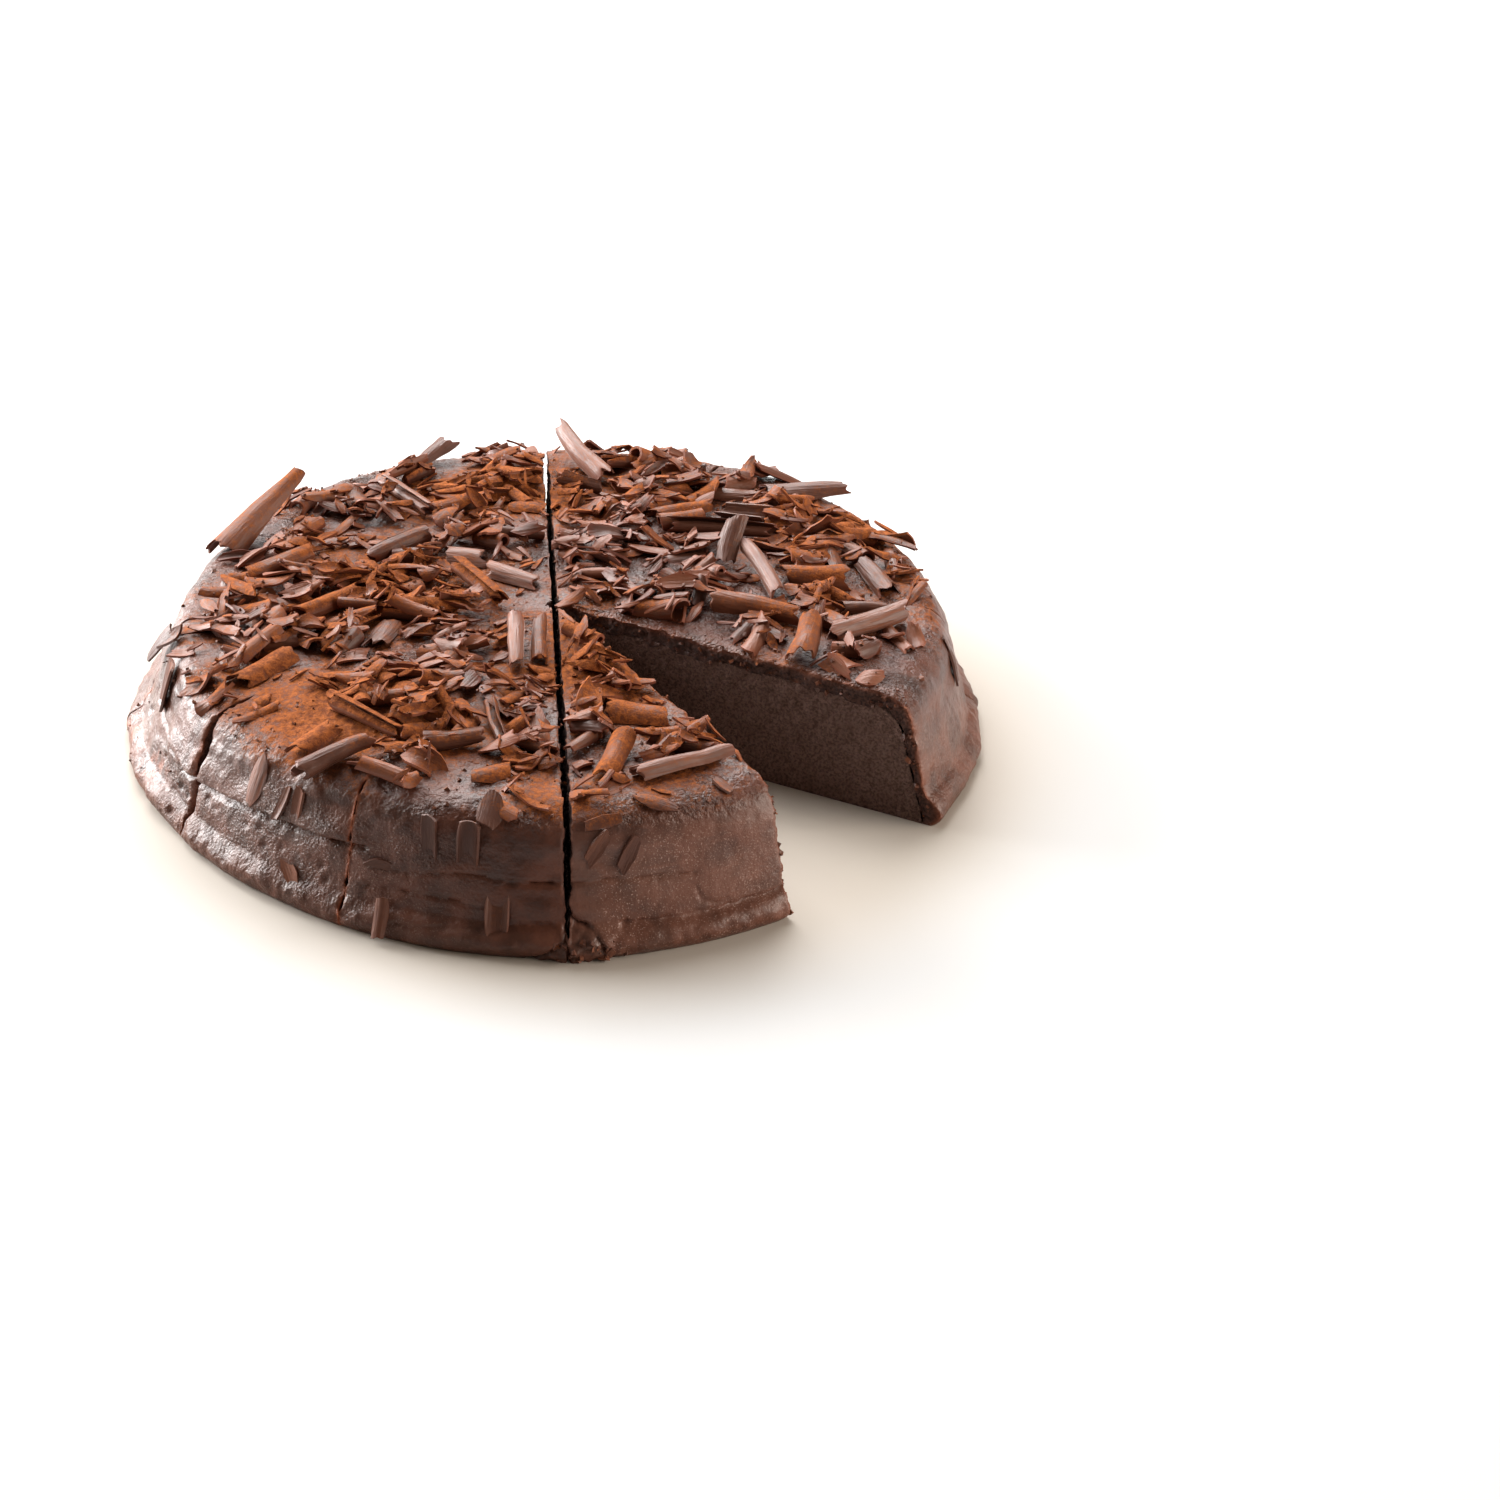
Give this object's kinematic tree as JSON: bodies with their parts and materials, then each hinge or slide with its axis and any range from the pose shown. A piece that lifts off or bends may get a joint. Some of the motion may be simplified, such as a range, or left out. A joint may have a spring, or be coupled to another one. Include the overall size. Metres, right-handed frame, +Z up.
{
  "type": "triple chocolate cake",
  "caption": "Round chocolate cake cut into portions with one gap, its dark sponge under chocolate icing strewn with chocolate curls and flakes and dusted with cocoa.",
  "frame": {"origin": "middle of the base, on the surface that the cake stands on", "axes": "+Z up through the middle of the cake, -Y towards the front, +X to the right"},
  "size_m": [0.249, 0.2514, 0.054],
  "materials": {
    "sponge": "matt, open crumb",
    "icing": "satin fudge icing with a soft sheen",
    "chocolate": "shaved chocolate, satin, dusted with cocoa"
  },
  "bodies": {
    "root": {"sponge_00": "sponge", "sponge_01": "sponge", "sponge_02": "sponge", "sponge_03": "sponge", "sponge_04": "sponge", "sponge_05": "sponge", "sponge_06": "sponge", "sponge_07": "sponge", "sponge_08": "sponge", "sponge_09": "sponge", "sponge_11": "sponge", "icing_00": "icing", "icing_01": "icing", "icing_02": "icing", "icing_03": "icing", "icing_04": "icing", "icing_05": "icing", "icing_06": "icing", "icing_07": "icing", "icing_08": "icing", "icing_09": "icing", "icing_11": "icing", "curl_01": "chocolate", "curl_02": "chocolate", "curl_03": "chocolate", "curl_04": "chocolate", "curl_05": "chocolate", "curl_06": "chocolate", "curl_07": "chocolate", "curl_08": "chocolate", "curl_09": "chocolate", "curl_10": "chocolate", "curl_11": "chocolate", "curl_12": "chocolate", "curl_13": "chocolate", "curl_14": "chocolate", "curl_15": "chocolate", "curl_16": "chocolate", "curl_17": "chocolate", "curl_18": "chocolate", "curl_19": "chocolate", "curl_20": "chocolate", "curl_21": "chocolate", "curl_22": "chocolate", "curl_23": "chocolate", "curl_24": "chocolate", "curl_25": "chocolate", "curl_26": "chocolate", "curl_27": "chocolate", "curl_28": "chocolate", "curl_29": "chocolate", "curl_30": "chocolate", "curl_31": "chocolate", "curl_32": "chocolate", "curl_33": "chocolate", "curl_34": "chocolate", "curl_35": "chocolate"}
  },
  "joints": []
}
